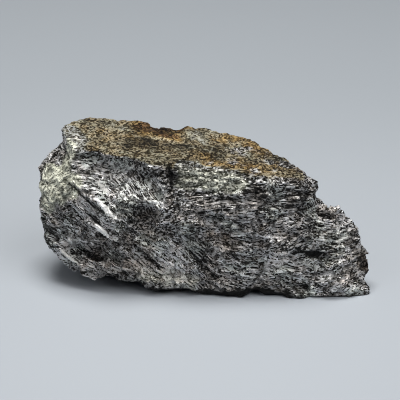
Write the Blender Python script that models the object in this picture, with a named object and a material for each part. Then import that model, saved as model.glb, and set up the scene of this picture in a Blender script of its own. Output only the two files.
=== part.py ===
"""Raw nuummite: one broken piece of dark, fibrous amphibole rock, lying on its flattest side.

The stone is a natural thing of one piece, so it is one solid. Its body is the union of convex
lumps, each spanned between the corners where its fracture faces meet, less the bites that broke
off. The body is remeshed to an even grid and its edges are worn. Then the relief is carved along
the surface normals: broad swells, chips, the ledges of the foliation, the pitted crust of the top
and the named hollows. Last, the underside is cut flat where the stone rests.

Units in the tables are millimetres. +X runs along the stone to its thin end, +Y to its back and
+Z up. The finished mesh is in metres, with its origin at the bottom centre of its bounding box.
"""

import itertools

import bmesh
import bpy
from mathutils import Matrix, Vector, noise
from mathutils.geometry import intersect_point_line

MM = 0.001

# --- Driving dimensions -------------------------------------------------------------------------
VOXEL = 0.7             # grid on which the relief is carved
EDGE_WEAR_PASSES = 2    # smoothing passes that take the knife edge off the breaks
EDGE_WEAR = 0.5         # how far each pass moves a point towards its neighbours
TRIANGLES = 9400        # what the solid holds before the underside is cut flat
RIM_SOFTNESS = 1.5      # how gently a hollow's rim rounds over


def layering(split, fibre):
    """The axes of a stack of layers as rows: along the fibres, across them, through the layers."""
    through = Vector(split).normalized()
    across = through.cross(Vector(fibre)).normalized()
    return Matrix((across.cross(through), across, through))


# The rock splits along its foliation, and its fibres lie in those layers. They are nearly level in
# most of the stone, and in the lower left part they dip steeply to the right.
LEVEL = layering(split=(0.15, -0.16, 0.97), fibre=(0.97, 0.12, -0.13))
DIPPING = layering(split=(0.58, -0.18, 0.79), fibre=(0.79, 0.10, -0.60))
DIPPING_BELOW = Vector((-35.8, 0.0, 31.0))      # a point of the plane between the two
DIPPING_NORMAL = Vector((0.52, 0.0, 0.85))
DIPPING_BLEND = 2.5                             # how wide the change is
DIPPING_WANDER = 3.0

# Broad swells of the fracture faces.
SWELL_SIZE = 15.0
SWELL_HEIGHT = 0.75
SWELL_OCTAVES = 3
OCTAVE_GAIN = 0.9
OCTAVE_STEP = 2.1

# Chips: cells with their own small tilt and height, drawn out along the fibres.
CHIP_SIZE = Vector((10.0, 6.5, 3.2))
CHIP_TILT = 0.14
CHIP_STEP = 0.75
CHIP_WARP = 1.8
CHIP_WARP_SIZE = 7.0
WARP_SHIFTS = (Vector((0, 0, 0)), Vector((31.7, 0, 0)), Vector((0, 17.3, 0)))
LEAN_SEED = 7.3
STEP_SEED = 3.1

# Ledges where the layers come to the surface. They fade out between patches.
LEDGE_SPACING = 3.1
LEDGE_HEIGHT = 1.1
LEDGE_LEAST = 0.45
LEDGE_PATCH_SIZE = 9.0
LEDGE_SLOPE_POWER = 1.6     # how the tread of a ledge curves
LEDGE_LIP_POWER = 12        # how sharply it drops off at its lip

# A face that lies in the foliation is split, not broken across: it shows this share of chips and
# ledges. The full relief is reached where FULL_RELIEF_SLOPE times the slope across them is 1.
SPLIT_FACE_SHARE = 0.3
FULL_RELIEF_SLOPE = 1.6

# The pitted crust on what faces up.
CRUST_SIZE = 3.4
CRUST_HEIGHT = 0.55

# The slab of floor that cuts the underside flat.
FLOOR_HALF_WIDTH = 80.0
FLOOR_DEPTH = 20.0

# --- Corners of the lumps, (x, y, z), with y counted from the foot of the front -----------------
MAIN_BODY = {
    "top, along the back": (
        (-38.5, 25.0, 40.6), (-32.6, 30.5, 41.0), (-24.0, 31.0, 40.0), (10.0, 28.0, 35.6),
        (27.8, 13.0, 32.2), (30.8, 8.5, 30.8),
    ),
    "top, along the front": (
        (-34.8, 10.6, 39.0), (-26.0, 7.0, 38.6), (-8.0, 5.8, 37.2), (9.9, 4.8, 35.4),
        (19.4, 4.4, 34.2), (26.2, 5.6, 33.0),
    ),
    "swell of the front": (
        (-34.6, 8.0, 32.0), (-26.0, 2.6, 27.0), (-10.0, 0.8, 26.5), (10.0, 0.6, 25.0),
        (25.0, 2.0, 24.0), (30.0, 4.4, 24.0),
    ),
    "foot of the front": (
        (-30.0, 4.6, 3.4), (-12.0, 2.2, 1.6), (23.8, 0.6, 0.4), (30.0, 0.4, -0.4),
    ),
    "what it rests on": (
        (-23.0, 15.0, -0.6), (-18.0, 22.5, -0.6), (-6.0, 9.0, -0.6), (12.0, 23.0, -0.6),
        (16.0, 6.0, -0.5),
    ),
    "back": (
        (-38.0, 29.0, 26.0), (-30.0, 34.0, 22.0), (2.0, 34.0, 20.0), (14.0, 31.0, 16.0),
        (31.0, 17.0, 18.0),
    ),
    "foot of the back": (
        (-33.0, 26.0, 3.2), (-20.0, 29.0, 2.0), (-8.0, 30.0, 1.4), (15.0, 27.5, 1.0),
        (31.0, 18.0, 0.4),
    ),
}
THIN_END = {
    "ridge": (
        (26.0, 9.0, 26.4), (31.1, 10.0, 25.2), (39.0, 9.0, 20.8), (41.2, 8.6, 18.4),
        (42.6, 8.0, 15.6),
    ),
    "end": (
        (45.6, 7.6, 7.8), (46.2, 5.6, 3.4), (46.2, 2.0, -1.0),
    ),
    "front": (
        (25.0, 1.8, 21.0), (36.0, 2.4, 12.0), (23.0, 0.6, 0.2), (38.5, -0.6, -0.7),
    ),
    "back": (
        (26.0, 22.0, 17.0), (36.0, 18.0, 13.0), (40.0, 16.0, 7.0), (39.0, 14.0, -0.5),
        (25.0, 21.0, 0.0),
    ),
}
BLUNT_END = {
    "brow": (
        (-38.8, 23.0, 35.4), (-41.5, 21.5, 33.4), (-44.2, 18.0, 31.6), (-36.0, 11.6, 33.0),
    ),
    "cheek": (
        (-44.2, 14.5, 28.0), (-44.2, 12.4, 21.2), (-40.0, 8.6, 26.0), (-34.0, 6.2, 25.0),
    ),
    "jaw": (
        (-43.8, 11.5, 17.2), (-42.2, 10.0, 10.8), (-38.2, 8.6, 7.0), (-34.4, 7.0, 4.0),
    ),
    "back": (
        (-43.6, 24.0, 28.0), (-43.0, 25.0, 18.0), (-38.0, 26.0, 6.0), (-30.0, 26.0, 1.5),
        (-30.0, 30.0, 26.0),
    ),
}
# The front of the blunt end leans back above this ridge, which runs down to the right, and is
# undercut below it.
SPLINTER = {
    "crest": (
        (-35.8, 7.6, 31.2), (-29.0, 3.0, 27.4), (-23.2, -0.2, 23.4), (-20.6, 0.2, 18.6),
    ),
    "root": (
        (-42.0, 11.0, 20.0), (-40.0, 11.5, 12.5), (-24.0, 4.0, 10.5), (-24.0, 10.0, 29.0),
        (-34.0, 14.0, 30.0),
    ),
}
LOWER_LIP = {
    "edge": (
        (-42.2, 9.6, 11.0), (-38.0, 6.4, 9.4), (-33.0, 3.6, 7.8), (-27.0, 2.6, 6.6),
        (-20.0, 2.6, 5.6),
    ),
    "underside": (
        (-37.6, 8.6, 6.8), (-33.6, 6.6, 4.2), (-29.0, 4.6, 3.2), (-20.0, 4.2, 3.0),
    ),
    "root": (
        (-38.0, 14.0, 12.0), (-22.0, 8.0, 10.0), (-30.0, 14.0, 4.0),
    ),
}
LUMPS = {
    "thin end": THIN_END,
    "blunt end": BLUNT_END,
    "splinter": SPLINTER,
    "lower lip": LOWER_LIP,
}

# --- Corners of the bites that broke off --------------------------------------------------------
SHELF_UNDER_BROW = {
    "riser": (
        (-37.5, 12.2, 42.0), (-16.0, 6.6, 42.0), (-37.5, 10.8, 34.6), (-14.0, 7.2, 33.0),
    ),
    "slope": (
        (-37.5, -8.0, 16.0), (-8.5, -8.0, 17.6), (-9.5, 1.0, 27.0),
    ),
    "outside": (
        (-37.5, -8.0, 42.0), (-16.0, -8.0, 42.0),
    ),
}
RECESS_UNDER_LEDGE = {
    "wall": (
        (-18.0, 3.2, 26.2), (-11.4, 3.0, 25.8), (-16.6, 2.6, 17.0), (-12.6, 2.4, 18.0),
    ),
    "mouth": (
        (-18.6, -3.0, 26.6), (-10.6, -3.0, 26.2), (-17.6, -3.0, 14.0), (-11.6, -3.0, 15.0),
    ),
}
SCOOP_IN_BACK = {
    "floor": (
        (-14.0, 30.5, 30.0), (6.0, 28.5, 28.0), (-18.0, 31.5, 12.0), (4.0, 30.0, 9.0),
    ),
    "mouth": (
        (-18.0, 42.0, 38.0), (12.0, 42.0, 36.0), (-24.0, 42.0, 5.0), (10.0, 42.0, 3.0),
    ),
}
STEP_IN_BACK = {
    "corner": (
        (12.0, 24.5, 18.0), (34.0, 9.5, 20.0), (10.0, 30.0, 16.5), (36.0, 20.0, 16.0),
    ),
    "outside": (
        (16.0, 25.5, 40.0), (36.0, 12.0, 40.0), (20.0, 42.0, 40.0), (40.0, 30.0, 40.0),
        (20.0, 42.0, 14.0), (40.0, 30.0, 14.0),
    ),
}
BITES = {
    "shelf under the brow": SHELF_UNDER_BROW,
    "recess under the ledge": RECESS_UNDER_LEDGE,
    "scoop in the back": SCOOP_IN_BACK,
    "step in the back": STEP_IN_BACK,
}

# --- Hollows, (start, end, radius, depth) -------------------------------------------------------
HOLLOWS = {
    "crevice between slab and cheek": ((-40.2, 19.0, 35.0), (-37.4, 13.0, 32.0), 1.9, 1.7),
    "slit in the front": ((-19.4, 3.0, 13.8), (-12.4, 2.8, 8.6), 1.1, 1.3),
    "shadow line above the lip": ((-36.0, 6.0, 10.8), (-28.6, 4.0, 11.6), 2.1, 1.9),
    "its steep end": ((-28.6, 4.0, 11.6), (-24.6, 3.0, 15.0), 1.7, 1.5),
    "pit beside the lip": ((-23.5, 3.0, 8.6), (-22.0, 3.0, 7.0), 1.4, 1.2),
    "hollow under the ridge": ((32.4, 9.0, 22.0), (36.6, 8.6, 20.4), 1.3, 1.0),
    "notch in the thin end": ((44.2, 6.5, 7.2), (44.6, 5.0, 3.6), 2.0, 1.6),
    "scoop in the thin end": ((26.0, 1.6, 11.0), (32.0, 2.2, 10.4), 3.4, 1.1),
    "arch in the foot": ((13.6, 0.4, 0.0), (14.6, 3.0, 0.0), 2.6, 1.4),
    "saddle of the top": ((-7.5, 29.0, 37.4), (-6.0, 20.0, 37.4), 4.0, 0.7),
}


def solid_between(name, corners):
    """A helper object: the convex solid spanned between these corners."""
    shape = bmesh.new()
    for corner in corners:
        shape.verts.new(Vector(corner) * MM)
    bmesh.ops.convex_hull(shape, input=shape.verts)
    bmesh.ops.recalc_face_normals(shape, faces=shape.faces)
    helper = in_scene(name, shape)
    helper.hide_render = True
    helper.display_type = "WIRE"
    return helper


def in_scene(name, shape):
    """The object made from this bmesh, which is freed."""
    mesh = bpy.data.meshes.new(name)
    shape.to_mesh(mesh)
    shape.free()
    made = bpy.data.objects.new(name, mesh)
    bpy.context.scene.collection.objects.link(made)
    return made


def from_rings(name, rings):
    """The convex solid between all the corners of these named rings."""
    return solid_between(name, [corner for ring in rings.values() for corner in ring])


def combine(body, operation, other):
    """Adds an exact Boolean of the body with the other object."""
    step = body.modifiers.new(other.name, "BOOLEAN")
    step.operation = operation
    step.solver = "EXACT"
    step.object = other


def evaluated(body, helpers):
    """What the body's modifiers make of it, as a bmesh. The objects are removed."""
    bpy.context.view_layer.update()
    seen = body.evaluated_get(bpy.context.evaluated_depsgraph_get())
    mesh = bpy.data.meshes.new_from_object(seen)
    shape = bmesh.new()
    shape.from_mesh(mesh)
    bpy.data.meshes.remove(mesh)
    for helper in (body, *helpers):
        bpy.data.objects.remove(helper)
    return shape


def broken_out():
    """The body joined with its lumps and without its bites, on an even grid."""
    body = from_rings("main body", MAIN_BODY)
    lumps = [from_rings(name, rings) for name, rings in LUMPS.items()]
    bites = [from_rings(name, rings) for name, rings in BITES.items()]
    for other in lumps:
        combine(body, "UNION", other)
    for other in bites:
        combine(body, "DIFFERENCE", other)
    grid = body.modifiers.new("even grid", "REMESH")
    grid.mode = "VOXEL"
    grid.voxel_size = VOXEL * MM
    return evaluated(body, lumps + bites)


def wear(shape):
    """Takes the knife edge off the breaks."""
    for _ in range(EDGE_WEAR_PASSES):
        bmesh.ops.smooth_vert(
            shape, verts=shape.verts, factor=EDGE_WEAR,
            use_axis_x=True, use_axis_y=True, use_axis_z=True,
        )


def swell(place):
    """Broad, soft unevenness of the fracture faces."""
    return SWELL_HEIGHT * noise.fractal(
        place / SWELL_SIZE, OCTAVE_GAIN, OCTAVE_STEP, SWELL_OCTAVES
    )


def warp(place):
    """A push of a millimetre or so each way, which bends straight joints."""
    at = place / CHIP_WARP_SIZE
    return CHIP_WARP * Vector(noise.noise(at + shift) for shift in WARP_SHIFTS)


def chip(layered):
    """Cells with their own small tilt and height, which meet in sharp edges."""
    cell = Vector(a / b for a, b in zip(layered, CHIP_SIZE))
    seed = noise.voronoi(cell)[1][0]
    lean = noise.cell_vector(seed * LEAN_SEED) * 2 - Vector((1, 1, 1))
    offset = Vector((c - s) * size for c, s, size in zip(cell, seed, CHIP_SIZE))
    return CHIP_TILT * lean.dot(offset) + CHIP_STEP * (noise.cell(seed * STEP_SEED) - 0.5)


def ledge(layered):
    """Saw-toothed terraces: each layer juts out at its top and tapers to the next one."""
    share = (layered.z / LEDGE_SPACING) % 1.0
    tread = share ** LEDGE_SLOPE_POWER * (1.0 - share ** LEDGE_LIP_POWER)
    patch = LEDGE_LEAST + noise.noise(layered / LEDGE_PATCH_SIZE)
    return LEDGE_HEIGHT * tread * min(max(patch, 0.0), 1.0)


def broken(place, normal, layers):
    """Chips and ledges of these layers, strongest where the surface is broken across them."""
    layered = layers @ place + warp(place)
    across_layers = 1.0 - abs(normal.dot(layers[2]))
    slope = min(1.0, FULL_RELIEF_SLOPE * across_layers)
    share = SPLIT_FACE_SHARE + (1.0 - SPLIT_FACE_SHARE) * slope
    return share * (chip(layered) + ledge(layered))


def dipping_share(place):
    """How far the layers here are the dipping ones, 0 to 1."""
    above = (place - DIPPING_BELOW).dot(DIPPING_NORMAL)
    above += DIPPING_WANDER * noise.noise(place / CHIP_WARP_SIZE)
    return min(max(0.5 - above / DIPPING_BLEND, 0.0), 1.0)


def crust(place, normal):
    """The pits and knobs of the weathered top."""
    return CRUST_HEIGHT * max(0.0, normal.z) * noise.noise(place / CRUST_SIZE)


def hollow(place):
    """Depth of the named hollows here, with soft rims."""
    depth = 0.0
    for start, end, radius, deepest in HOLLOWS.values():
        start, end = Vector(start), Vector(end)
        share = intersect_point_line(place, start, end)[1]
        nearest = start.lerp(end, min(max(share, 0.0), 1.0))
        reach = (place - nearest).length / radius
        if reach < 1.0:
            depth += deepest * (1.0 - reach * reach) ** RIM_SOFTNESS
    return depth


def relief(place, normal):
    """How far the surface stands out here."""
    dipping = dipping_share(place)
    height = swell(place) + crust(place, normal) - hollow(place)
    if dipping < 1.0:
        height += (1.0 - dipping) * broken(place, normal, LEVEL)
    if dipping > 0.0:
        height += dipping * broken(place, normal, DIPPING)
    return height


def carve(shape):
    """Moves each vertex along its normal by the relief at its place."""
    shape.normal_update()
    moved = []
    for vertex in shape.verts:
        height = relief(vertex.co / MM, vertex.normal)
        moved.append(vertex.co + vertex.normal * height * MM)
    for vertex, place in zip(shape.verts, moved):
        vertex.co = place


def cut_flat(shape):
    """The carved shape thinned to its number of faces, with what is below z = 0 cut off."""
    bmesh.ops.triangulate(shape, faces=shape.faces)
    count = len(shape.faces)
    carved = in_scene("carved", shape)
    thin = carved.modifiers.new("fewer faces", "DECIMATE")
    thin.ratio = TRIANGLES / count
    sides = (-FLOOR_HALF_WIDTH, FLOOR_HALF_WIDTH)
    corners = itertools.product(sides, sides, (-FLOOR_DEPTH, 0.0))
    floor = solid_between("floor", corners)
    combine(carved, "DIFFERENCE", floor)
    return evaluated(carved, [floor])


def centre_on_origin(shape):
    """Puts the origin at the bottom centre of the bounding box."""
    low = Vector(min(v.co[axis] for v in shape.verts) for axis in range(3))
    high = Vector(max(v.co[axis] for v in shape.verts) for axis in range(3))
    centre = (low + high) / 2
    bmesh.ops.translate(shape, verts=shape.verts, vec=(-centre.x, -centre.y, -low.z))


def dark_amphibole():
    """The finish: nearly black, with the dull sheen of packed fibres."""
    material = bpy.data.materials.new("dark amphibole")
    material.use_nodes = True
    shader = material.node_tree.nodes["Principled BSDF"]
    shader.inputs["Base Color"].default_value = (0.13, 0.13, 0.12, 1)
    shader.inputs["Roughness"].default_value = 0.55
    shader.inputs["Metallic"].default_value = 0.0
    return material


def build_stone():
    """The whole stone as one object."""
    shape = broken_out()
    wear(shape)
    carve(shape)
    shape = cut_flat(shape)
    centre_on_origin(shape)
    stone = in_scene("nuummite_stone", shape)
    stone.data.materials.append(dark_amphibole())


def main():
    for old in list(bpy.data.objects):
        bpy.data.objects.remove(old)
    build_stone()


main()
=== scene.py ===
"""Dresses a raw nuummite: one broken lump of dark, fibrous amphibole rock with a weathered top.

The stone is one piece. Its surface starts from the CAD solid, is remeshed fine and is carved with
the splinters of its fibre bundles. What the finish needs is kept on the mesh as attributes: where
each point lies along and across the fibres of its bundle, how far it stands out, and how weathered,
pale, bright or dark the rock is there. Lengths are in millimetres up to the finished mesh.
"""

import itertools
import logging
import math
from dataclasses import dataclass
from enum import Enum

import bmesh
import bpy
import numpy as np
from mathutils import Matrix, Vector


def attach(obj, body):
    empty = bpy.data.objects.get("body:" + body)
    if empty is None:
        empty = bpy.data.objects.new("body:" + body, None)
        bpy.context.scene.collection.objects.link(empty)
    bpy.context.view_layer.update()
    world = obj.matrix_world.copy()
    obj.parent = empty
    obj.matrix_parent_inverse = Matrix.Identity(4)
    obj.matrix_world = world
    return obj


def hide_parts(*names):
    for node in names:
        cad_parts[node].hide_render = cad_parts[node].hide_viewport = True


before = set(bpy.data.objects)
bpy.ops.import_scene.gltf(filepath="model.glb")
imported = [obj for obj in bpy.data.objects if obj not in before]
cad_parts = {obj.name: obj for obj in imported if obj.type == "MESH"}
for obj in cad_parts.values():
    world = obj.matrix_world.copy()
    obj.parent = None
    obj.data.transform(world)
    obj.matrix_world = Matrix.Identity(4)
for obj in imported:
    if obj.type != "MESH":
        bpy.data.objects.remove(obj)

LOG = logging.getLogger("nuummite")
MM = 0.001
NODE = "nuummite_stone"
BODY = "root"

Point = tuple[float, float, float]
Span = tuple[float, float]
Stops = tuple[tuple[float, Point], ...]
Socket = bpy.types.NodeSocket

# What left to right, depth and height count for in a line on the front.
FRONT_WEIGHTS = (1.0, 0.3, 1.0)
RED, GREEN, BLUE = range(3)


class Lattice:
    """Random numbers, smooth noise and cells in space, the same each run."""

    MULTIPLIERS = (73856093, 19349663, 83492791)
    SEED_STEP = 7919
    SALT_STEP = 2654435761
    MIXER = 1274126177
    SHIFTS = (15, 13, 16)
    WORD = 0xFFFFFFFF
    LOUDNESS = 1.5

    def __init__(self, seed: int) -> None:
        """Starts a lattice of its own.

        Args:
            seed: tells this lattice's numbers from another's.
        """
        self.seed = seed

    def number(self, cells: np.ndarray, salt: int = 0) -> np.ndarray:
        """One number for each cell of the lattice.

        Args:
            cells: whole-numbered cells, one row each.
            salt: gives another number for the same cell.

        Returns:
            Numbers from 0 to 1.
        """
        first = (self.seed + 1) * self.SEED_STEP + salt * self.SALT_STEP
        mixed = np.full(len(cells), first, np.int64)
        for axis, multiplier in enumerate(self.MULTIPLIERS):
            mixed ^= cells[:, axis] * multiplier
        mixed &= self.WORD
        for shift in self.SHIFTS:
            mixed = ((mixed ^ (mixed >> shift)) * self.MIXER) & self.WORD
        return mixed / self.WORD

    def arrow(self, cells: np.ndarray, salt: int = 0) -> np.ndarray:
        """Three numbers from 0 to 1 for each cell, as a row."""
        return np.stack([self.number(cells, salt + axis) for axis in range(3)], axis=1)

    def smooth(self, places: np.ndarray, salt: int = 0) -> np.ndarray:
        """Smooth noise with swells about one unit wide.

        Args:
            places: one row each.
            salt: gives another noise.

        Returns:
            Heights of about -1 to 1.
        """
        base = np.floor(places).astype(np.int64)
        part = places - base
        fade = part**3 * (part * (part * 6 - 15) + 10)
        total = np.zeros(len(places))
        for corner in itertools.product((0, 1), repeat=3):
            weight = np.prod(np.where(corner, fade, 1 - fade), axis=1)
            slope = self.arrow(base + corner, salt) * 2 - 1
            total += weight * np.einsum("ij,ij->i", slope, part - corner)
        return total * self.LOUDNESS

    def rough(self, places: np.ndarray, octaves: int, salt: int = 0) -> np.ndarray:
        """Smooth noise with finer and lower noise on top of it.

        Args:
            places: one row each.
            octaves: how many noises are summed, each twice as fine and half as high.
            salt: gives another noise.

        Returns:
            Heights of about -1 to 1.
        """
        layers = [
            self.smooth(places * 2.0**octave, salt + 3 * octave) / 2.0**octave
            for octave in range(octaves)
        ]
        return np.sum(layers, axis=0)

    def drift(self, places: np.ndarray, octaves: int = 1, salt: int = 0) -> np.ndarray:
        """Three rough noises of each place, as a row."""
        rows = [self.rough(places, octaves, salt + 3 * axis) for axis in range(3)]
        return np.stack(rows, axis=1)

    def cells(self, places: np.ndarray, salt: int = 0) -> "Cells":
        """The cell of scattered seeds that each place lies in.

        Args:
            places: one row each, with about one seed in each unit of space.
            salt: gives other seeds.

        Returns:
            The cell of each place.
        """
        base = np.floor(places).astype(np.int64)
        near = np.full(len(places), np.inf)
        second = np.full(len(places), np.inf)
        seeds = np.zeros_like(places)
        owner = np.zeros_like(base)
        for step in itertools.product((-1, 0, 1), repeat=3):
            cell = base + step
            seed = cell + self.arrow(cell, salt)
            gap = np.linalg.norm(seed - places, axis=1)
            closer = gap < near
            second = np.where(closer, near, np.minimum(second, gap))
            near = np.where(closer, gap, near)
            seeds[closer] = seed[closer]
            owner[closer] = cell[closer]
        return Cells(self, owner, seeds, second - near)


@dataclass(frozen=True)
class Cells:
    """Which scattered cell each of a row of places lies in."""

    lattice: Lattice
    owner: np.ndarray
    seeds: np.ndarray
    to_edge: np.ndarray

    def number(self, salt: int) -> np.ndarray:
        """A number from 0 to 1 that is the same all over each cell."""
        return self.lattice.number(self.owner, salt)

    def arrow(self, salt: int) -> np.ndarray:
        """Three numbers from -1 to 1 that are the same all over each cell."""
        return self.lattice.arrow(self.owner, salt) * 2 - 1


def ramp(values: np.ndarray, start: float, end: float) -> np.ndarray:
    """A smooth rise from 0 at the start to 1 at the end."""
    share = np.clip((values - start) / (end - start), 0.0, 1.0)
    return share * share * (3 - 2 * share)


def unit(rows: np.ndarray) -> np.ndarray:
    """Each row at length 1."""
    return rows / np.linalg.norm(rows, axis=1, keepdims=True)


def from_line(places: np.ndarray, start: Point, end: Point) -> tuple[np.ndarray, np.ndarray]:
    """How far each place is from a line, and how far along it.

    Args:
        places: one row each.
        start: one end of the line.
        end: the other end.

    Returns:
        The distances, and the shares of the line from its start, 0 to 1.
    """
    line = np.subtract(end, start)
    share = np.clip((places - start) @ line / (line @ line), 0.0, 1.0)
    nearest = np.array(start) + share[:, None] * line
    return np.linalg.norm(places - nearest, axis=1), share


class Look(Enum):
    """What sets one part of the rock apart from the rest, and the name of its attribute.

    The crust is the weathered top, and ochre its yellowest parts. Pale is a thin greenish skin,
    silver rock rich in bright blades and partly brightened with painted sheen where they face the
    light, dark partly rock poor in them and partly painted shade along the foot and in cracks, rust
    a brown stain, white a single large blade, and foot shade a painted contact shadow on the lowest
    rim by the floor.
    """

    CRUST = "crust"
    PALE = "pale"
    # Bright blades, partly brightened with painted sheen where they face the light.
    SILVER_AND_SHEEN = "silver"
    # Dark rock, and painted shade along the foot and in cracks.
    DARK = "dark"
    RUST = "rust"
    WHITE = "white"
    OCHRE = "ochre"
    # Painted contact shadow on the lowest rim by the floor.
    FOOT_SHADE = "foot_shade"


@dataclass(frozen=True)
class Mark:
    """Something that lies along a line in the stone."""

    start: Point
    end: Point

    def away(self, places: np.ndarray) -> np.ndarray:
        """How far each place is from the line."""
        return from_line(places, self.start, self.end)[0]

    def tapered_away(self, places: np.ndarray, tip: float, span: Span) -> np.ndarray:
        """How far each place is from a line on the front, in widths that taper at its ends.

        Args:
            places: one row each.
            tip: about how wide the ends are, where the middle is 1.
            span: the part of the line, between 0 and 1, along which the width changes.

        Returns:
            The distances, with the depth counted for little.
        """
        flat = np.array(FRONT_WEIGHTS)
        distance, share = from_line(places * flat, self.start * flat, self.end * flat)
        return distance / (tip + (1 - tip) * np.sin(np.pi * np.clip(share, *span)))


@dataclass(frozen=True)
class Patch(Mark):
    """A stretch of the surface where the rock has one look."""

    reach: float
    strength: float = 1.0

    INNER = 0.45
    OUTER = 1.25

    def share(self, places: np.ndarray) -> np.ndarray:
        """How much of its look each place has, 0 to its strength."""
        outer, inner = self.OUTER * self.reach, self.INNER * self.reach
        return self.strength * ramp(self.away(places), outer, inner)


@dataclass(frozen=True)
class Nudge(Mark):
    """A small push of the surface."""

    reach: float
    push: Point

    INNER = 0.2

    def moves(self, places: np.ndarray) -> np.ndarray:
        """How each place moves, as a row."""
        share = ramp(self.away(places), self.reach, self.INNER * self.reach)
        return share[:, None] * np.array(self.push)


@dataclass(frozen=True)
class Sheaf(Mark):
    """A stretch of rock whose fibres run in one direction."""

    reach: float
    fibre: Point

    def share(self, places: np.ndarray) -> np.ndarray:
        """How far inside the sheaf each place is: 1 on its line, below 0 outside."""
        return 1.0 - self.away(places) / self.reach


@dataclass(frozen=True)
class Crack(Mark):
    """A crack in the surface, darkened with painted shade."""

    width: float
    depth: float

    TIP = 0.35
    SPAN = (0.08, 0.92)
    FLOOR = 0.25

    def share(self, places: np.ndarray) -> np.ndarray:
        """How deep in the crack each place is: 1 at its bottom, 0 outside."""
        away = self.tapered_away(places, self.TIP, self.SPAN)
        return ramp(away, self.width, self.FLOOR * self.width)


@dataclass(frozen=True)
class Blade(Mark):
    """One large bright blade that lies proud of the surface."""

    width: float
    height: float
    strength: float

    TIP = 0.3
    SPAN = (0.06, 0.9)
    OUTER = 0.5
    INNER = 0.32

    def share(self, places: np.ndarray) -> np.ndarray:
        """1 on the blade and 0 outside, with ends that taper."""
        away = self.tapered_away(places, self.TIP, self.SPAN)
        return ramp(away, self.OUTER * self.width, self.INNER * self.width)


def falling(degrees: float, inwards: float = 0.12) -> Point:
    """The direction of fibres that run down to the right across the front.

    Args:
        degrees: how steeply they run down.
        inwards: how far they turn to the back.

    Returns:
        The direction.
    """
    return (math.cos(math.radians(degrees)), inwards, -math.sin(math.radians(degrees)))


LEVEL = falling(5.0)

SHEAVES = (
    Sheaf((-41.0, -8.0, 21.0), (-35.0, -9.0, 15.0), 7.0, falling(26.0, -0.3)),
    Sheaf((-32.0, -12.0, 20.0), (-22.0, -14.0, 13.0), 8.0, falling(33.0, -0.26)),
    Sheaf((-33.0, -8.0, 34.0), (-27.0, -9.5, 32.0), 5.0, falling(4.0, -0.1)),
    Sheaf((-25.5, -10.5, 32.0), (-22.0, -13.5, 27.5), 4.0, falling(36.0, -0.45)),
    Sheaf((-18.5, -10.5, 33.0), (-14.0, -13.5, 27.0), 4.6, falling(56.0, -0.6)),
    Sheaf((-35.0, -9.0, 31.0), (-22.0, -15.0, 22.0), 1.5, falling(35.0, -0.38)),
    Sheaf((-14.0, -15.0, 11.0), (-1.0, -16.0, 8.0), 7.5, falling(44.0)),
    Sheaf((6.0, -16.0, 12.0), (9.0, -16.0, 4.0), 5.0, falling(20.0)),
    Sheaf((-38.0, -10.0, 9.0), (-26.0, -14.0, 5.0), 4.0, falling(22.0, -0.32)),
    Sheaf((-10.0, -15.0, 24.0), (-5.0, -16.0, 22.0), 4.5, falling(-14.0)),
    Sheaf((1.0, -16.0, 26.0), (9.0, -15.5, 22.0), 5.0, falling(5.0)),
    Sheaf((13.0, -15.0, 29.0), (22.0, -14.0, 28.0), 5.0, falling(4.0)),
    Sheaf((16.0, -16.0, 20.0), (25.0, -15.0, 16.0), 5.0, falling(-12.0, 0.24)),
    Sheaf((30.0, -13.0, 20.0), (36.0, -12.0, 15.0), 4.5, falling(11.0, 0.38)),
    Sheaf((13.0, -16.0, 7.0), (26.0, -15.0, 6.0), 6.0, falling(8.0)),
    Sheaf((29.0, -15.0, 9.0), (38.0, -16.0, 4.0), 5.0, falling(-20.0, 0.24)),
    Sheaf((-40.0, -6.0, 30.0), (-38.0, -8.0, 24.0), 5.0, falling(-42.0, -0.32)),
    Sheaf((-44.0, -2.0, 28.0), (-44.0, -3.0, 20.0), 4.0, falling(80.0, -0.3)),
    Sheaf((-30.0, 16.0, 28.0), (-24.0, 17.0, 10.0), 12.0, falling(-24.0)),
    Sheaf((10.0, 14.0, 20.0), (2.0, 16.0, 8.0), 9.0, falling(40.0)),
)

# Rock rich in bright blades, brightened partly with painted sheen where they face the light.
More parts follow.
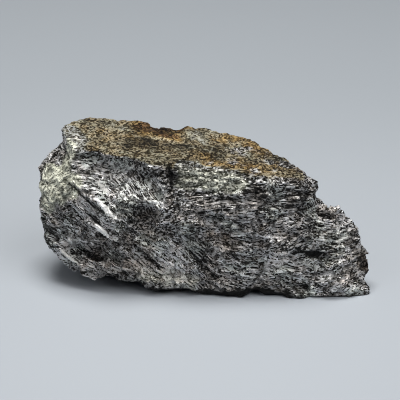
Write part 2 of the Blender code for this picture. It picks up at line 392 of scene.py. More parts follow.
SILVER_AND_SHEEN_PATCHES = (
    Patch((-33.0, -8.0, 33.0), (-20.0, -11.5, 30.0), 5.5, 0.55),
    Patch((-31.6, -8.0, 33.0), (-27.5, -10.0, 31.5), 3.0, 0.7),
    Patch((-24.5, -13.5, 27.0), (-22.0, -14.5, 25.0), 1.9, 0.7),
    Patch((-40.8, -6.5, 27.2), (-32.7, -9.5, 27.2), 3.4, 0.7),
    Patch((-33.0, -10.5, 27.0), (-29.0, -13.0, 22.5), 2.6),
    Patch((-13.7, -12.0, 30.0), (-10.0, -15.0, 24.3), 3.8, 1.1),
    Patch((-32.5, -10.0, 29.0), (-30.5, -11.5, 26.0), 2.4),
    Patch((-17.5, -12.5, 30.0), (-16.0, -13.0, 28.0), 2.2, 0.8),
    Patch((-36.0, -10.0, 13.2), (-33.0, -11.0, 12.2), 2.2, 1.5),
    Patch((-42.5, -6.0, 15.0), (-42.0, -7.0, 13.5), 2.0, 0.8),
    Patch((-14.0, -15.0, 11.0), (-12.0, -15.0, 9.0), 2.0, 0.8),
    Patch((30.0, -14.0, 15.0), (32.0, -14.0, 12.5), 2.4, 0.9),
    Patch((-1.5, -15.0, 31.0), (2.0, -15.0, 30.5), 2.0, 0.8),
    Patch((2.0, -15.8, 14.8), (4.0, -15.8, 14.4), 1.8, 1.7),
    Patch((-25.0, -9.5, 33.0), (-23.5, -10.0, 31.5), 1.8, 0.8),
    Patch((21.0, -15.4, 24.0), (25.0, -15.0, 22.0), 2.4),
    Patch((28.0, -15.4, 9.2), (35.0, -15.2, 8.2), 2.6, 1.2),
    Patch((-26.0, -8.0, 35.2), (-21.5, -8.5, 34.5), 2.4, 1.2),
    Patch((-39.0, -9.0, 19.0), (-30.0, -12.0, 14.0), 6.0, 0.35),
    Patch((-16.0, -15.0, 14.0), (4.0, -16.0, 6.0), 7.0, 0.35),
    Patch((22.0, -15.0, 6.0), (38.0, -12.0, 14.0), 7.0, 0.25),
    Patch((-35.0, -9.0, 31.0), (-22.5, -15.0, 22.0), 1.5, 0.5),
    Patch((-31.0, -12.0, 22.5), (-27.6, -14.8, 20.0), 3.0, 0.7),
    Patch((-26.0, -15.0, 19.5), (-22.0, -15.0, 18.0), 2.8, 0.6),
    Patch((-40.0, -10.0, 10.5), (-31.0, -13.0, 6.5), 2.2, 0.9),
    Patch((-34.0, -9.0, 13.0), (-31.0, -12.0, 13.0), 3.0, 0.5),
    Patch((-26.0, -13.0, 9.5), (-23.0, -14.0, 9.0), 3.0, 0.6),
    Patch((-11.6, -15.8, 17.0), (-3.6, -15.8, 14.8), 4.0, 0.7),
    Patch((-10.3, -14.5, 13.2), (-7.7, -14.7, 6.0), 4.6, 1.3),
    Patch((-16.0, -14.0, 26.8), (-9.0, -14.5, 26.2), 1.4, 0.6),
    Patch((12.5, -13.0, 33.3), (16.0, -12.8, 32.8), 2.6, 0.7),
    Patch((14.0, -15.4, 26.0), (9.5, -15.5, 24.5), 2.6, 0.3),
    Patch((20.5, -15.7, 19.8), (20.5, -15.2, 23.0), 2.4, 1.3),
    Patch((-15.0, -14.2, 25.6), (-8.0, -15.0, 23.0), 2.6, 1.4),
    Patch((8.0, -16.0, 18.0), (10.5, -16.0, 17.4), 1.6, 0.9),
    Patch((33.0, -11.5, 20.0), (34.5, -12.0, 17.5), 2.6, 0.9),
    Patch((27.0, -15.5, 7.4), (31.5, -15.5, 6.8), 1.8),
    Patch((-15.0, 5.0, 38.3), (-8.0, 4.5, 38.0), 2.2, 0.9),
    Patch((-36.5, -4.5, 38.6), (-35.0, -5.0, 37.6), 2.0, 0.9),
    Patch((5.5, -15.3, 9.4), (11.5, -16.0, 8.2), 2.6, 1.9),
    Patch((16.5, -15.5, 10.5), (24.0, -15.5, 6.2), 2.8, 1.6),
    Patch((31.0, -15.4, 9.5), (34.0, -15.4, 8.0), 2.6, 0.6),
    Patch((35.5, -17.0, 4.4), (38.5, -16.5, 3.4), 2.6, 0.7),
    Patch((35.3, -12.2, 15.7), (38.5, -9.5, 19.0), 4.0, 0.8),
    Patch((30.0, -9.8, 23.2), (31.0, -11.0, 21.5), 1.9, 0.9),
    Patch((35.0, -10.5, 20.0), (37.0, -11.5, 16.0), 2.4, 1.2),
    Patch((-2.5, 9.5, 37.6), (3.5, 9.0, 37.0), 3.0, 0.5),
    Patch((7.0, 6.5, 36.3), (12.0, 5.0, 35.8), 2.6, 0.5),
    Patch((-34.0, 2.0, 39.5), (-22.0, 4.0, 39.0), 7.0, 0.5),
    Patch((-30.0, 16.0, 28.0), (-12.0, 15.0, 22.0), 6.0, 0.8),
    Patch((-3.0, 7.6, 37.6), (-0.5, 5.5, 37.2), 1.6, 0.8),
    Patch((8.0, 3.5, 36.2), (10.0, 1.5, 36.0), 1.4, 0.8),
)

PALE_PATCHES = (
    Patch((-37.0, 4.0, 40.0), (-35.0, -3.0, 38.5), 4.0, 0.3),
    Patch((-38.0, -3.0, 36.5), (-42.0, -6.0, 27.0), 5.5),
    Patch((-41.0, -6.5, 30.0), (-35.5, -8.5, 29.5), 4.2, 0.9),
    Patch((-42.0, -6.0, 27.0), (-42.6, -5.0, 24.5), 4.6),
    Patch((-38.4, -8.4, 26.6), (-36.0, -9.0, 28.5), 3.4, 0.8),
    Patch((-5.0, -12.5, 33.8), (8.0, -13.4, 32.4), 3.8, 0.65),
    Patch((5.0, -13.5, 32.5), (8.6, -13.2, 32.8), 2.2, 0.6),
    Patch((-42.5, -2.0, 35.0), (-40.0, -1.0, 37.0), 3.0, 0.7),
    Patch((-16.0, -14.5, 6.0), (-3.0, -15.0, 4.5), 3.4, 0.4),
    Patch((-4.0, 8.0, 37.6), (0.5, 5.0, 37.2), 3.2, 0.16),
    Patch((8.0, 4.5, 36.2), (10.5, 0.5, 36.0), 2.8, 0.16),
    Patch((-14.0, 5.0, 38.3), (-9.0, 4.5, 38.0), 2.4, 0.16),
    Patch((24.0, 8.0, 16.0), (38.0, 3.0, 8.0), 7.0, 0.5),
)

# Dark rock, and at the end painted contact shadow along the front foot.
DARK_AND_SHADE_PATCHES = (
    Patch((-33.5, -6.8, 36.4), (-32.5, -7.0, 36.0), 1.4),
    Patch((-6.5, -11.0, 37.0), (-5.0, -11.5, 36.6), 1.5, 0.8),
    Patch((-18.0, -8.0, 36.8), (-12.0, -9.5, 36.2), 2.4, 0.8),
    Patch((-19.0, -9.8, 36.0), (-14.5, -11.0, 35.0), 2.0, 0.6),
    Patch((-10.0, -11.6, 37.0), (-8.6, -13.4, 32.0), 2.2, 0.8),
    Patch((-16.5, -14.0, 22.0), (-15.5, -14.0, 18.0), 3.0, 0.2),
    Patch((-34.0, -11.0, 10.4), (-28.0, -12.0, 10.2), 1.5, 0.5),
    Patch((1.0, -15.5, 12.0), (2.5, -15.6, 4.0), 3.2, 0.8),
    Patch((11.8, -14.4, 31.0), (14.0, -14.4, 30.2), 2.5, 1.7),
    Patch((2.5, -16.0, 28.0), (8.0, -16.0, 27.2), 2.6),
    Patch((12.0, -16.2, 16.0), (15.5, -16.3, 15.5), 2.0, 0.8),
    Patch((-28.5, -13.5, 8.0), (-27.0, -14.0, 7.5), 1.6, 0.7),
    Patch((30.5, -16.0, 5.0), (34.0, -16.3, 4.5), 2.0, 0.8),
    Patch((39.5, -9.0, 17.5), (40.5, -9.5, 16.0), 1.8, 0.7),
    Patch((39.5, -11.5, 12.0), (40.5, -11.5, 10.5), 1.8, 0.7),
    Patch((27.5, -13.5, 24.0), (27.5, -14.5, 18.0), 2.4, 0.8),
    Patch((1.0, -16.0, 20.0), (2.5, -16.0, 17.0), 2.4, 0.5),
    Patch((21.5, -15.8, 18.6), (25.0, -15.6, 17.6), 2.6),
    Patch((-11.5, 12.0, 38.4), (-6.0, 11.5, 38.0), 2.2, 0.9),
    Patch((-14.0, 9.0, 38.6), (-7.0, 8.5, 38.0), 3.0, 0.7),
    Patch((26.5, -15.0, 12.4), (32.0, -15.0, 11.8), 2.8, 0.7),
    Patch((23.0, -12.5, 31.0), (28.5, -10.0, 28.5), 3.0, 0.6),
    Patch((26.0, -3.0, 32.5), (29.5, -6.0, 31.0), 2.4),
    Patch((-43.5, -2.0, 22.0), (-42.5, -5.0, 13.0), 3.6, 0.9),
    Patch((24.0, -15.7, 15.4), (26.0, -15.5, 14.8), 1.8, 0.8),
    Patch((43.5, -11.0, 7.0), (44.5, -10.0, 4.0), 2.4, 0.9),
    Patch((8.0, -4.0, 35.5), (24.0, -6.0, 33.5), 4.6, 0.45),
    Patch((-19.0, -1.0, 38.2), (3.0, -2.0, 36.4), 4.6, 0.85),
    # Painted contact shadow along the front foot, where the rock meets the floor.
    Patch((-20.0, -15.0, 0.2), (-4.0, -16.0, 0.0), 1.9, 2.4),
    Patch((-4.0, -16.0, 0.0), (26.0, -17.0, 0.0), 1.8, 2.4),
)

OCHRE_PATCHES = (
    Patch((3.0, 5.0, 37.0), (7.0, 5.5, 36.5), 2.8, 0.9),
    Patch((0.0, -6.5, 36.6), (9.0, -7.5, 36.0), 2.8, 0.6),
    Patch((12.0, 4.5, 35.5), (16.0, 3.0, 35.0), 3.2, 0.8),
    Patch((12.0, -8.0, 34.5), (24.0, -6.0, 33.5), 4.5, 0.7),
    Patch((-15.0, 9.5, 38.5), (-9.0, 10.0, 38.0), 6.0, 1.5),
)

RUST_PATCHES = (
    Patch((-15.5, -14.0, 21.5), (-14.5, -14.0, 18.0), 3.2, 0.5),
    Patch((2.0, -16.0, 17.0), (6.0, -16.0, 16.0), 3.4, 0.7),
    Patch((-31.0, -13.0, 9.0), (-15.0, -14.0, 4.5), 4.6, 0.4),
    Patch((-24.0, -14.5, 16.0), (-17.0, -14.0, 12.0), 4.6, 0.35),
    Patch((-14.0, -14.0, 5.0), (-4.0, -14.0, 4.0), 4.0, 0.3),
    Patch((43.6, -11.0, 8.5), (44.2, -10.0, 5.0), 3.0, 0.8),
    Patch((-43.5, -4.0, 31.0), (-43.5, -4.5, 28.5), 2.4, 0.5),
    Patch((31.0, -9.5, 22.4), (34.0, -9.2, 21.2), 1.6, 0.5),
    Patch((-20.0, 17.0, 6.0), (8.0, 16.0, 5.0), 5.0, 0.6),
)

PATCHES = {
    Look.SILVER_AND_SHEEN: SILVER_AND_SHEEN_PATCHES,
    Look.PALE: PALE_PATCHES,
    Look.DARK: DARK_AND_SHADE_PATCHES,
    Look.OCHRE: OCHRE_PATCHES,
    Look.RUST: RUST_PATCHES,
}

NUDGES = (
    Nudge((-4.0, 10.5, 36.8), (-2.0, 10.5, 36.5), 4.5, (0.2, 0.5, 0.85)),
    Nudge((4.0, 10.5, 36.0), (6.0, 10.5, 35.5), 4.0, (0.1, 0.4, 0.6)),
    Nudge((12.5, 9.2, 34.6), (22.0, 0.5, 33.8), 5.5, (0.35, 0.4, 0.75)),
    Nudge((-15.8, 11.5, 39.2), (-14.5, 11.0, 38.8), 3.5, (0.0, -0.7, -1.1)),
    Nudge((31.5, -8.0, 22.8), (34.5, -8.2, 21.6), 4.0, (0.3, 0.0, 1.2)),
    Nudge((40.5, -9.0, 17.5), (39.5, -9.0, 18.5), 2.5, (0.6, 0.0, 0.3)),
    Nudge((44.3, -10.5, 7.5), (44.3, -10.5, 6.0), 3.2, (1.1, 0.0, 0.3)),
    Nudge((42.8, -10.0, 12.6), (42.5, -10.5, 11.2), 2.8, (-0.8, 0.0, -0.3)),
    Nudge((44.4, -12.0, 3.0), (44.4, -12.0, 2.6), 2.0, (-0.9, 0.0, 0.0)),
    Nudge((42.5, -15.2, 1.0), (43.5, -14.0, 1.0), 4.0, (0.4, -0.5, 0.0)),
    Nudge((13.0, -16.6, 0.6), (19.5, -16.6, 0.6), 3.6, (0.0, 1.1, 1.3)),
    Nudge((-26.0, -14.3, 2.8), (-19.0, -14.2, 1.8), 4.2, (0.0, 1.1, 1.5)),
    Nudge((-33.0, -11.0, 4.6), (-30.5, -12.6, 4.3), 3.0, (-0.3, -0.4, -0.6)),
    Nudge((-39.9, -10.5, 9.4), (-35.6, -11.4, 5.6), 3.8, (0.8, 0.4, 1.1)),
    Nudge((-0.5, -15.7, 1.4), (1.0, -15.7, 1.4), 3.2, (0.0, 0.9, 1.2)),
    Nudge((-15.8, -15.4, 1.8), (-14.8, -15.4, 1.8), 2.6, (0.0, 0.5, 0.7)),
    Nudge((-44.0, -4.6, 22.0), (-44.0, -3.4, 25.0), 3.6, (-0.6, 0.0, 0.0)),
    Nudge((27.0, -4.0, 33.0), (28.8, -6.5, 32.0), 3.5, (-0.6, -0.3, -0.7)),
    Nudge((-43.0, -3.0, 33.0), (-41.5, -2.0, 34.5), 3.0, (-0.6, 0.0, 0.4)),
    Nudge((-22.0, -14.8, 3.0), (10.0, -15.8, 3.0), 2.4, (0.0, -1.2, 0.8)),
    Nudge((-24.0, -13.5, 0.0), (26.0, -14.8, 0.0), 3.0, (0.0, -1.9, 0.0)),
    Nudge((-34.3, -12.0, 6.2), (-34.2, -12.0, 5.4), 2.6, (-0.3, -0.5, -1.3)),
    Nudge((-32.0, -9.0, 3.0), (-20.0, -10.0, 1.4), 4.4, (0.0, 0.4, 0.7)),
)

CRACKS = (
    Crack((-19.0, -15.5, 14.2), (-12.0, -15.0, 7.8), 1.3, 1.4),
    Crack((-38.6, -2.0, 36.8), (-35.6, -5.5, 33.5), 1.1, 0.9),
    Crack((-34.0, -11.5, 10.6), (-27.5, -12.5, 10.0), 1.3, 1.1),
    Crack((-29.0, -13.5, 17.5), (-23.0, -15.5, 15.0), 1.2, 0.9),
    Crack((-36.5, -9.0, 30.6), (-23.5, -15.0, 21.6), 0.9, 0.5),
    Crack((-9.6, -11.6, 36.6), (-8.6, -13.4, 31.5), 1.4, 0.8),
    Crack((24.5, -15.0, 12.8), (32.0, -15.0, 12.0), 1.8, 0.4),
    Crack((30.5, -10.5, 22.2), (36.0, -9.5, 20.4), 0.8, 0.6),
    Crack((-4.0, -16.0, 13.0), (3.0, -16.5, 5.0), 1.0, 0.7),
    Crack((20.0, -12.0, 31.5), (31.0, -9.0, 27.0), 1.2, 0.8),
)

BLADES = (
    Blade((-29.6, -12.6, 28.2), (-22.8, -15.2, 22.4), 1.5, 0.35, 0.4),
    Blade((-29.4, -14.6, 20.9), (-25.0, -14.9, 16.7), 1.5, 0.25, 0.4),
    Blade((-16.4, -13.6, 27.6), (-9.8, -14.6, 26.8), 0.8, 0.3, 0.6),
    Blade((-36.0, -9.3, 29.0), (-31.5, -11.0, 25.0), 0.7, 0.2, 0.6),
    Blade((-22.8, -12.0, 29.6), (-18.8, -13.6, 24.6), 0.9, 0.2, 0.5),
    Blade((-38.6, -11.0, 10.4), (-34.0, -12.6, 7.2), 1.0, 0.3, 0.6),
    Blade((14.0, -16.0, 18.6), (19.0, -16.6, 17.6), 1.0, 0.2, 0.3),
    Blade((22.0, -15.6, 10.2), (29.0, -15.4, 9.2), 1.0, 0.2, 0.3),
)


@dataclass
class Surface:
    """The stone's skin: its places, its outward directions, and which points are joined."""

    places: np.ndarray
    normals: np.ndarray
    edges: np.ndarray

    def calmed(self, values: np.ndarray, passes: int) -> np.ndarray:
        """Values averaged with their neighbours' over and over.

        Args:
            values: one row for each point.
            passes: how often they are averaged.

        Returns:
            The averaged values.
        """
        ends = np.concatenate([self.edges, self.edges[:, ::-1]])
        count = np.bincount(ends[:, 0], minlength=len(values))
        for _ in range(passes):
            sums = [
                np.bincount(ends[:, 0], values[ends[:, 1], axis], minlength=len(values))
                for axis in range(values.shape[1])
            ]
            values = (values + np.stack(sums, axis=1) / count[:, None]) / 2
        return values


@dataclass
class FibreBundles:
    """The bundles of fibres that the rock is made of."""

    # How large a bundle is, how its bounds wander, and how its fibres bend.
    size: float = 7.0
    warp: float = 1.8
    warp_size: float = 3.5
    bend: float = 0.55
    bend_size: float = 5.0
    # How far its fibres stray from their direction, outside a sheaf and inside one.
    spread: float = 0.24
    held_spread: float = 0.09
    # Which way its layers face, how far they roll, and how far apart its pattern is laid.
    lift: Point = (0.0, 0.35, 1.0)
    roll: float = 0.5
    apart: float = 40.0
    seed: int = 11

    def lay(self, places: np.ndarray) -> tuple[np.ndarray, np.ndarray, np.ndarray]:
        """Where each place lies in its own bundle.

        Args:
            places: one row each.

        Returns:
            Along the fibres, across them and through the layers, in millimetres. Three
            numbers from 0 to 1 that are the same all over the bundle. The fibres' direction.
        """
        lattice = Lattice(self.seed)
        warped = places + self.warp * lattice.drift(places / self.warp_size, salt=20)
        bent = places + self.bend * lattice.drift(places / self.bend_size, salt=30)
        bundle = lattice.cells(warped / self.size)
        fibres, held = self.direction(warped)
        stray = np.where(held, self.held_spread, self.spread)[:, None]
        along = unit(fibres + stray * bundle.arrow(salt=5))
        across = unit(np.cross(along, self.lift + self.roll * bundle.arrow(salt=8)))
        through = np.cross(along, across)
        local = bent - bundle.seeds * self.size
        rows = [np.einsum("ij,ij->i", local, axis) for axis in (along, across, through)]
        kind = lattice.arrow(bundle.owner, salt=15)
        kind[:, 2] = np.where(held, 1.0, kind[:, 2])
        return np.stack(rows, axis=1) + self.apart * bundle.arrow(salt=12), kind, along

    def direction(self, places: np.ndarray) -> tuple[np.ndarray, np.ndarray]:
        """Which way the fibres run.

        Args:
            places: one row each.

        Returns:
            The direction at each place, as a row, and whether a sheaf sets it.
        """
        shares = np.stack([np.zeros(len(places))] + [sheaf.share(places) for sheaf in SHEAVES])
        fibres = np.array([LEVEL] + [sheaf.fibre for sheaf in SHEAVES])
        nearest = np.argmax(shares, axis=0)
        return fibres[nearest], nearest > 0


@dataclass
class SplinterRelief:
    """The relief of a broken surface: blades that lie in bundles, and a knobbly crust on top."""

    # Slabs of blades, their steps, and the grooves between them.
    slab: Point = (11.0, 3.6, 2.6)
    slab_step: float = 0.5
    groove: float = 0.14
    groove_depth: float = 0.55
    # Blades, their steps and their leaning faces, bolder in some bundles.
    blade: Point = (5.5, 1.3, 0.9)
    blade_step: float = 0.32
    blade_tilt: float = 0.16
    most_lean: float = 0.3
    least_bold: float = 0.6
    more_bold: float = 0.8
    # Splinters on the blades, and the knobs of the crust, of which all the rock has some.
    splinter: Point = (2.6, 0.8, 0.7)
    splinter_step: float = 0.24
    knob_size: float = 2.2
    knob_height: float = 0.25
    knobs_everywhere: float = 0.35
    seed: int = 31

    def height(
        self, fibre: np.ndarray, kind: np.ndarray, places: np.ndarray, calm: np.ndarray
    ) -> np.ndarray:
        """How far each point stands out.

        Args:
            fibre: where each point lies in its bundle.
            kind: the numbers of its bundle.
            places: where it lies in the stone.
            calm: how little the blades stand out there, 0 to 1.

        Returns:
            Heights in millimetres.
        """
        lattice = Lattice(self.seed)
        slabs = lattice.cells(fibre / self.slab, salt=3)
        blades = lattice.cells(fibre / self.blade, salt=1)
        splinters = lattice.cells(fibre / self.splinter, salt=2)
        reach = (fibre / self.blade - blades.seeds) * self.blade
        lean = np.einsum("ij,ij->i", blades.arrow(salt=7), reach) * self.blade_tilt
        lean = np.clip(lean, -self.most_lean, self.most_lean)
        bold = self.least_bold + self.more_bold * kind[:, 0]
        broken = self.slab_step * (slabs.number(salt=6) - 0.5)
        broken -= self.groove_depth * ramp(slabs.to_edge, self.groove, 0.0)
        broken += bold * self.blade_step * (blades.number(salt=4) - 0.5) + lean
        broken += self.splinter_step * (splinters.number(salt=9) - 0.5)
        knobs = self.knob_height * lattice.rough(places / self.knob_size, 2, salt=40)
        return broken * (1.0 - calm) + knobs * (self.knobs_everywhere + calm)


@dataclass
class LookMap:
    """Where the stone has each of its looks."""

    # How far the edges of the looks wander.
    wander: float = 1.5
    wander_size: float = 5.0
    # The height of the crust's edge, which falls to the right, on faces that look upwards.
    crust_edge: float = 35.2
    crust_slope: float = -0.09
    crust_fade: float = 1.7
    upward: Span = (0.05, 0.5)
    upward_passes: int = 12
    # How tall the painted contact shadow at the foot is, and how much lower it is at the right.
    foot_shade_tall: float = 2.0
    foot_shade_drop: float = 1.4
    foot_shade_drop_span: Span = (20.0, 27.0)
    foot_shade_fade: float = 0.5
    seed: int = 71

    def shares(self, surface: Surface) -> dict[Look, np.ndarray]:
        """How much of each look every point has.

        Args:
            surface: the calm surface before the relief.

        Returns:
            A share for each look and point, mostly 0 to 1.
        """
        push = Lattice(self.seed).drift(surface.places / self.wander_size, 3)
        wandering = surface.places + self.wander * push
        shares = {look: np.zeros(len(wandering)) for look in Look}
        for look, patches in PATCHES.items():
            for patch in patches:
                shares[look] = np.maximum(shares[look], patch.share(wandering))
        above = wandering[:, 2] - (self.crust_edge + self.crust_slope * wandering[:, 0])
        upward = surface.calmed(surface.normals, self.upward_passes)[:, 2]
        high = ramp(above, -self.crust_fade, self.crust_fade)
        shares[Look.CRUST] = high * ramp(upward, *self.upward) * (1.0 - shares[Look.PALE])
        # Painted contact shadow: a dark band on the lowest rim by the floor, lower at the right.
        drop = self.foot_shade_drop * ramp(surface.places[:, 0], *self.foot_shade_drop_span)
        low = surface.places[:, 2] + self.foot_shade_fade * push[:, 0] - (self.foot_shade_tall - drop)
        shares[Look.FOOT_SHADE] = ramp(low, self.foot_shade_fade, -self.foot_shade_fade)
        return shares


@dataclass
class NuummiteStone:
    """The whole stone: a fine surface over the CAD solid, with its relief and its looks."""

    # The grid, the gap that is closed in the CAD mesh, and how often the surface is averaged.
    voxel: float = 0.42
    merge: float = 0.001
    calm_passes: int = 2
    ridge_passes: int = 14
    # How much lower the relief is where fibres end, on the crust, under the painted foot shade and
    # on a blade.
    end_calm: float = 0.6
    crust_calm: float = 0.55
    foot_shade_calm: float = 0.9
    blade_calm: float = 0.8
    # How much painted shade darkens a crack.
    crack_painted_shade: float = 1.5
    name: str = "nuummite_rock"

    def build(self) -> bpy.types.Object:
        """Makes the piece and dresses it.

        Returns:
            The finished object.
        """
        stone = self.fine_copy()
        surface = self.read(stone.data)
        surface.places = surface.calmed(surface.places, self.calm_passes)
        surface.places += sum(nudge.moves(surface.places) for nudge in NUDGES)
        fibre, kind, along = FibreBundles().lay(surface.places)
        looks = LookMap().shares(surface)
        ends = np.abs(np.einsum("ij,ij->i", surface.normals, along))
        calm = np.maximum(self.end_calm * ends, self.crust_calm * looks[Look.CRUST])
        height = SplinterRelief().height(fibre, kind, surface.places, calm)
        # The relief is calmed under the painted contact shadow.
        height *= 1.0 - self.foot_shade_calm * looks[Look.FOOT_SHADE]
        self.mark(surface.places, height, looks)
        places = surface.places + surface.normals * height[:, None]
        places[:, 2] = np.maximum(places[:, 2], 0.0)
        stone.data.vertices.foreach_set("co", (places * MM).astype(np.float32).ravel())
        stone.data.update()
        self.keep(stone.data, "fibre", fibre)
        self.keep(stone.data, "kind", kind)
        # The finish paints shade into hollows and light onto ridges from this.
        self.keep(stone.data, "ridge", self.ridges(self.read(stone.data)))
        for look, share in looks.items():
            self.keep(stone.data, look.value, share)
        stone.data.shade_smooth()
        stone.data.materials.append(RockFinish().material())
        return stone

    def mark(self, places: np.ndarray, height: np.ndarray, looks: dict[Look, np.ndarray]) -> None:
        """Cuts the cracks, paints shade along them, and raises the large blades.

        Args:
            places: where each point lies.
            height: how far it stands out, which is changed.
            looks: its looks, which are changed.
        """
        for crack in CRACKS:
            share = crack.share(places)
            height -= crack.depth * share
            # Painted shade: the rock is darkened along the crack.
            looks[Look.DARK] = np.maximum(looks[Look.DARK], self.crack_painted_shade * share)
        for blade in BLADES:
            share = blade.share(places)
            height += (blade.height - self.blade_calm * height) * share
            looks[Look.WHITE] = np.maximum(looks[Look.WHITE], blade.strength * share)

    def fine_copy(self) -> bpy.types.Object:
        """Copies the CAD solid onto a fine, even grid.

        Returns:
            A new object, linked to the scene.
        """
        shape = bmesh.new()
        shape.from_mesh(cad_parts[NODE].data)
        bmesh.ops.remove_doubles(shape, verts=shape.verts, dist=self.merge * MM)
        coarse = bpy.data.meshes.new("coarse")
        shape.to_mesh(coarse)
        shape.free()
        helper = bpy.data.objects.new("coarse", coarse)
        bpy.context.scene.collection.objects.link(helper)
        grid = helper.modifiers.new("fine grid", "REMESH")
        grid.mode = "VOXEL"
        grid.voxel_size = self.voxel * MM
        bpy.context.view_layer.update()
        seen = helper.evaluated_get(bpy.context.evaluated_depsgraph_get())
        mesh = bpy.data.meshes.new_from_object(seen)
        bpy.data.objects.remove(helper)
        stone = bpy.data.objects.new(self.name, mesh)
        bpy.context.scene.collection.objects.link(stone)
        return stone

    def read(self, mesh: bpy.types.Mesh) -> Surface:
        """Reads a mesh in millimetres.

        Args:
            mesh: the mesh, in metres.

        Returns:
            Its places, normals and edges.
        """
        count = len(mesh.vertices)
        places = np.empty(count * 3, np.float32)
        normals = np.empty(count * 3, np.float32)
        edges = np.empty(len(mesh.edges) * 2, np.int32)
        mesh.vertices.foreach_get("co", places)
        mesh.vertex_normals.foreach_get("vector", normals)
        mesh.edges.foreach_get("vertices", edges)
        return Surface(
            places.reshape(-1, 3).astype(np.float64) / MM,
            normals.reshape(-1, 3).astype(np.float64),
            edges.reshape(-1, 2),
        )

    def ridges(self, surface: Surface) -> np.ndarray:
        """How far each point stands out from the calm surface round it, in millimetres."""
        calm = surface.calmed(surface.places, self.ridge_passes)
        return np.einsum("ij,ij->i", surface.places - calm, surface.normals)

    def keep(self, mesh: bpy.types.Mesh, name: str, values: np.ndarray) -> None:
        """Stores a number or a row for each point.

        Args:
            mesh: the mesh that takes them.
            name: the attribute's name.
            values: one number or one row of three for each point.
        """
        kind, field = ("FLOAT", "value") if values.ndim == 1 else ("FLOAT_VECTOR", "vector")
        attribute = mesh.attributes.new(name, kind, "POINT")
        attribute.data.foreach_set(field, values.astype(np.float32).ravel())


class Graph:
    """Shorthand for building a material's nodes."""

    def __init__(self, name: str) -> None:
        """Starts a material with one Principled shader.

        Args:
            name: the material's name.
        """
        self.material = bpy.data.materials.new(name)
        self.material.use_nodes = True
        self.tree = self.material.node_tree
        self.shader = self.tree.nodes["Principled BSDF"]

    def node(self, kind: str, inputs: dict | None = None, **settings: object) -> bpy.types.Node:
        """Adds a node.

        Args:
            kind: the node's type name without ShaderNode.
            inputs: socket names or numbers, to values or to sockets that are linked.
            settings: the node's own properties.

        Returns:
            The node.
        """
        made = self.tree.nodes.new("ShaderNode" + kind)
        for name, value in settings.items():
            setattr(made, name, value)
        for name, value in (inputs or {}).items():
            self.feed(made.inputs[name], value)
        return made

    def feed(self, socket: Socket, value: object) -> None:
        """Links the socket if the value is one too, and otherwise sets it.

        Args:
            socket: the input that takes the value.
            value: another node's output, or a number or a row of them.
        """
        if isinstance(value, Socket):
            self.tree.links.new(value, socket)
        else:
            socket.default_value = value

    def attribute(self, name: str, vector: bool = False) -> Socket:
        """A value, or a vector, that the mesh holds."""
        found = self.node("Attribute", attribute_name=name)
        return found.outputs["Vector" if vector else "Fac"]

    def vectors(self, operation: str, *values: Socket | Point) -> Socket:
        """What a vector operation makes of its values."""
        return self.node("VectorMath", dict(enumerate(values)), operation=operation).outputs[0]

    def stretched(self, vector: Socket, size: Point) -> Socket:
        """The vector counted in steps of this size along each axis."""
        return self.vectors("MULTIPLY", vector, tuple(1 / length for length in size))

    def noise(self, vector: Socket, size: float, detail: float) -> Socket:
        """Noise of 0 to 1 with swells of this size."""
        inputs = {"Vector": vector, "Scale": 1 / size, "Detail": detail}
        return self.node("TexNoise", inputs).outputs["Fac"]

    def cells(self, vector: Socket, size: Point) -> Socket:
        """A random colour for each cell of about this size."""
        inputs = {"Vector": self.stretched(vector, size), "Scale": 1.0}
        return self.node("TexVoronoi", inputs).outputs["Color"]

    def channel(self, colour: Socket, index: int) -> Socket:
        """Red, green or blue of a colour."""
        return self.node("SeparateColor", {0: colour}).outputs[index]

    def sum(self, *terms: tuple[float, Socket | float]) -> Socket:
        """Adds sockets, each times its own factor.

        Args:
            terms: pairs of a factor and a socket, or of a factor and 1 for a constant.

        Returns:
            The sum.
        """
        total = None
        for factor, socket in terms:
            inputs = {0: socket, 1: factor, 2: 0.0 if total is None else total}
            total = self.node("Math", inputs, operation="MULTIPLY_ADD").outputs[0]
        return total

    def rest(self, value: Socket) -> Socket:
        """What a value leaves of 1."""
        return self.sum((-1.0, value), (1.0, 1.0))

    def step(self, value: Socket, low: float, high: float) -> Socket:
        """A smooth rise from 0 at low to 1 at high."""
        inputs = {"Value": value, "From Min": low, "From Max": high}
        return self.node("MapRange", inputs, interpolation_type="SMOOTHSTEP").outputs["Result"]

    def scale(self, a: Socket, b: Socket | float) -> Socket:
        """The product of two values."""
        return self.node("Math", {0: a, 1: b}, operation="MULTIPLY").outputs[0]

    def blend(self, share: Socket, low: Socket | Point, high: Socket | Point) -> Socket:
        """Mixes two colours.

        Args:
            share: the share of the second, 0 to 1.
            low: the first colour.
            high: the second colour.

        Returns:
            The mixed colour.
        """
        mixer = self.node("Mix", data_type="RGBA", clamp_factor=True)
        self.feed(mixer.inputs["Factor"], share)
        for name, value in (("A", low), ("B", high)):
            socket = next(s for s in mixer.inputs if s.name == name and s.type == "RGBA")
            self.feed(socket, value if isinstance(value, Socket) else (*value, 1.0))
        return next(s for s in mixer.outputs if s.type == "RGBA")

    def colours(self, value: Socket, stops: Stops) -> Socket:
        """Turns a value into a colour.

        Args:
            value: a value of 0 to 1.
            stops: places on the scale from 0 to 1, each with its colour.

        Returns:
            The colour that the scale has at the value.
        """
        made = self.node("ValToRGB", {0: value})
        bar = made.color_ramp.elements
        for place, colour in stops[1:-1]:
            bar.new(place).color = (*colour, 1.0)
        bar[0].position, bar[0].color = stops[0][0], (*stops[0][1], 1.0)
        bar[-1].position, bar[-1].color = stops[-1][0], (*stops[-1][1], 1.0)
        return made.outputs["Color"]


